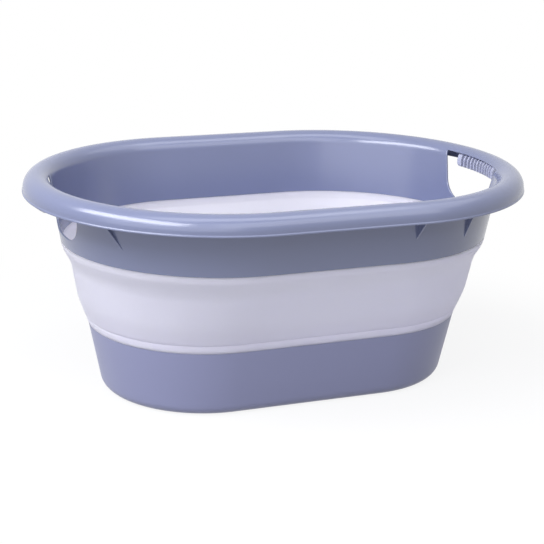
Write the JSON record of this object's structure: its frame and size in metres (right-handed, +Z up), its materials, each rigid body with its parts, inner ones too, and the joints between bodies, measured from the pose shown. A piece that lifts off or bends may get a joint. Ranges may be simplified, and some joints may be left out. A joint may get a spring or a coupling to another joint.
{
  "type": "folding pet bathtub",
  "caption": "Oval folding tub with a rolled rim, ribbed hand grips over openings at both ends, a soft band that turns inside out and a flat-floored base.",
  "frame": {"origin": "on the floor under the middle of the open tub", "axes": "+X along the long side, from handle to handle; +Y across; +Z up"},
  "size_m": [0.6, 0.44, 0.256],
  "materials": {
    "rim_gloss_blue": "moulded polypropylene, polished blue-grey",
    "grip_blue": "moulded polypropylene, pale blue-grey",
    "band_soft_white": "soft thermoplastic rubber, smooth, pale lilac white",
    "base_satin_blue": "moulded polypropylene, satin blue-grey"
  },
  "bodies": {
    "base": {"base_tub": "base_satin_blue", "folding_band": "band_soft_white"},
    "rim": {"rim_frame": "rim_gloss_blue", "grip_left": "grip_blue", "grip_right": "grip_blue"}
  },
  "joints": [
    {"name": "collapse", "type": "slide", "parent": "base", "child": "rim", "axis": [0, 0, -1], "range_m": [0, 0.168], "deforming": ["folding_band"]}
  ]
}
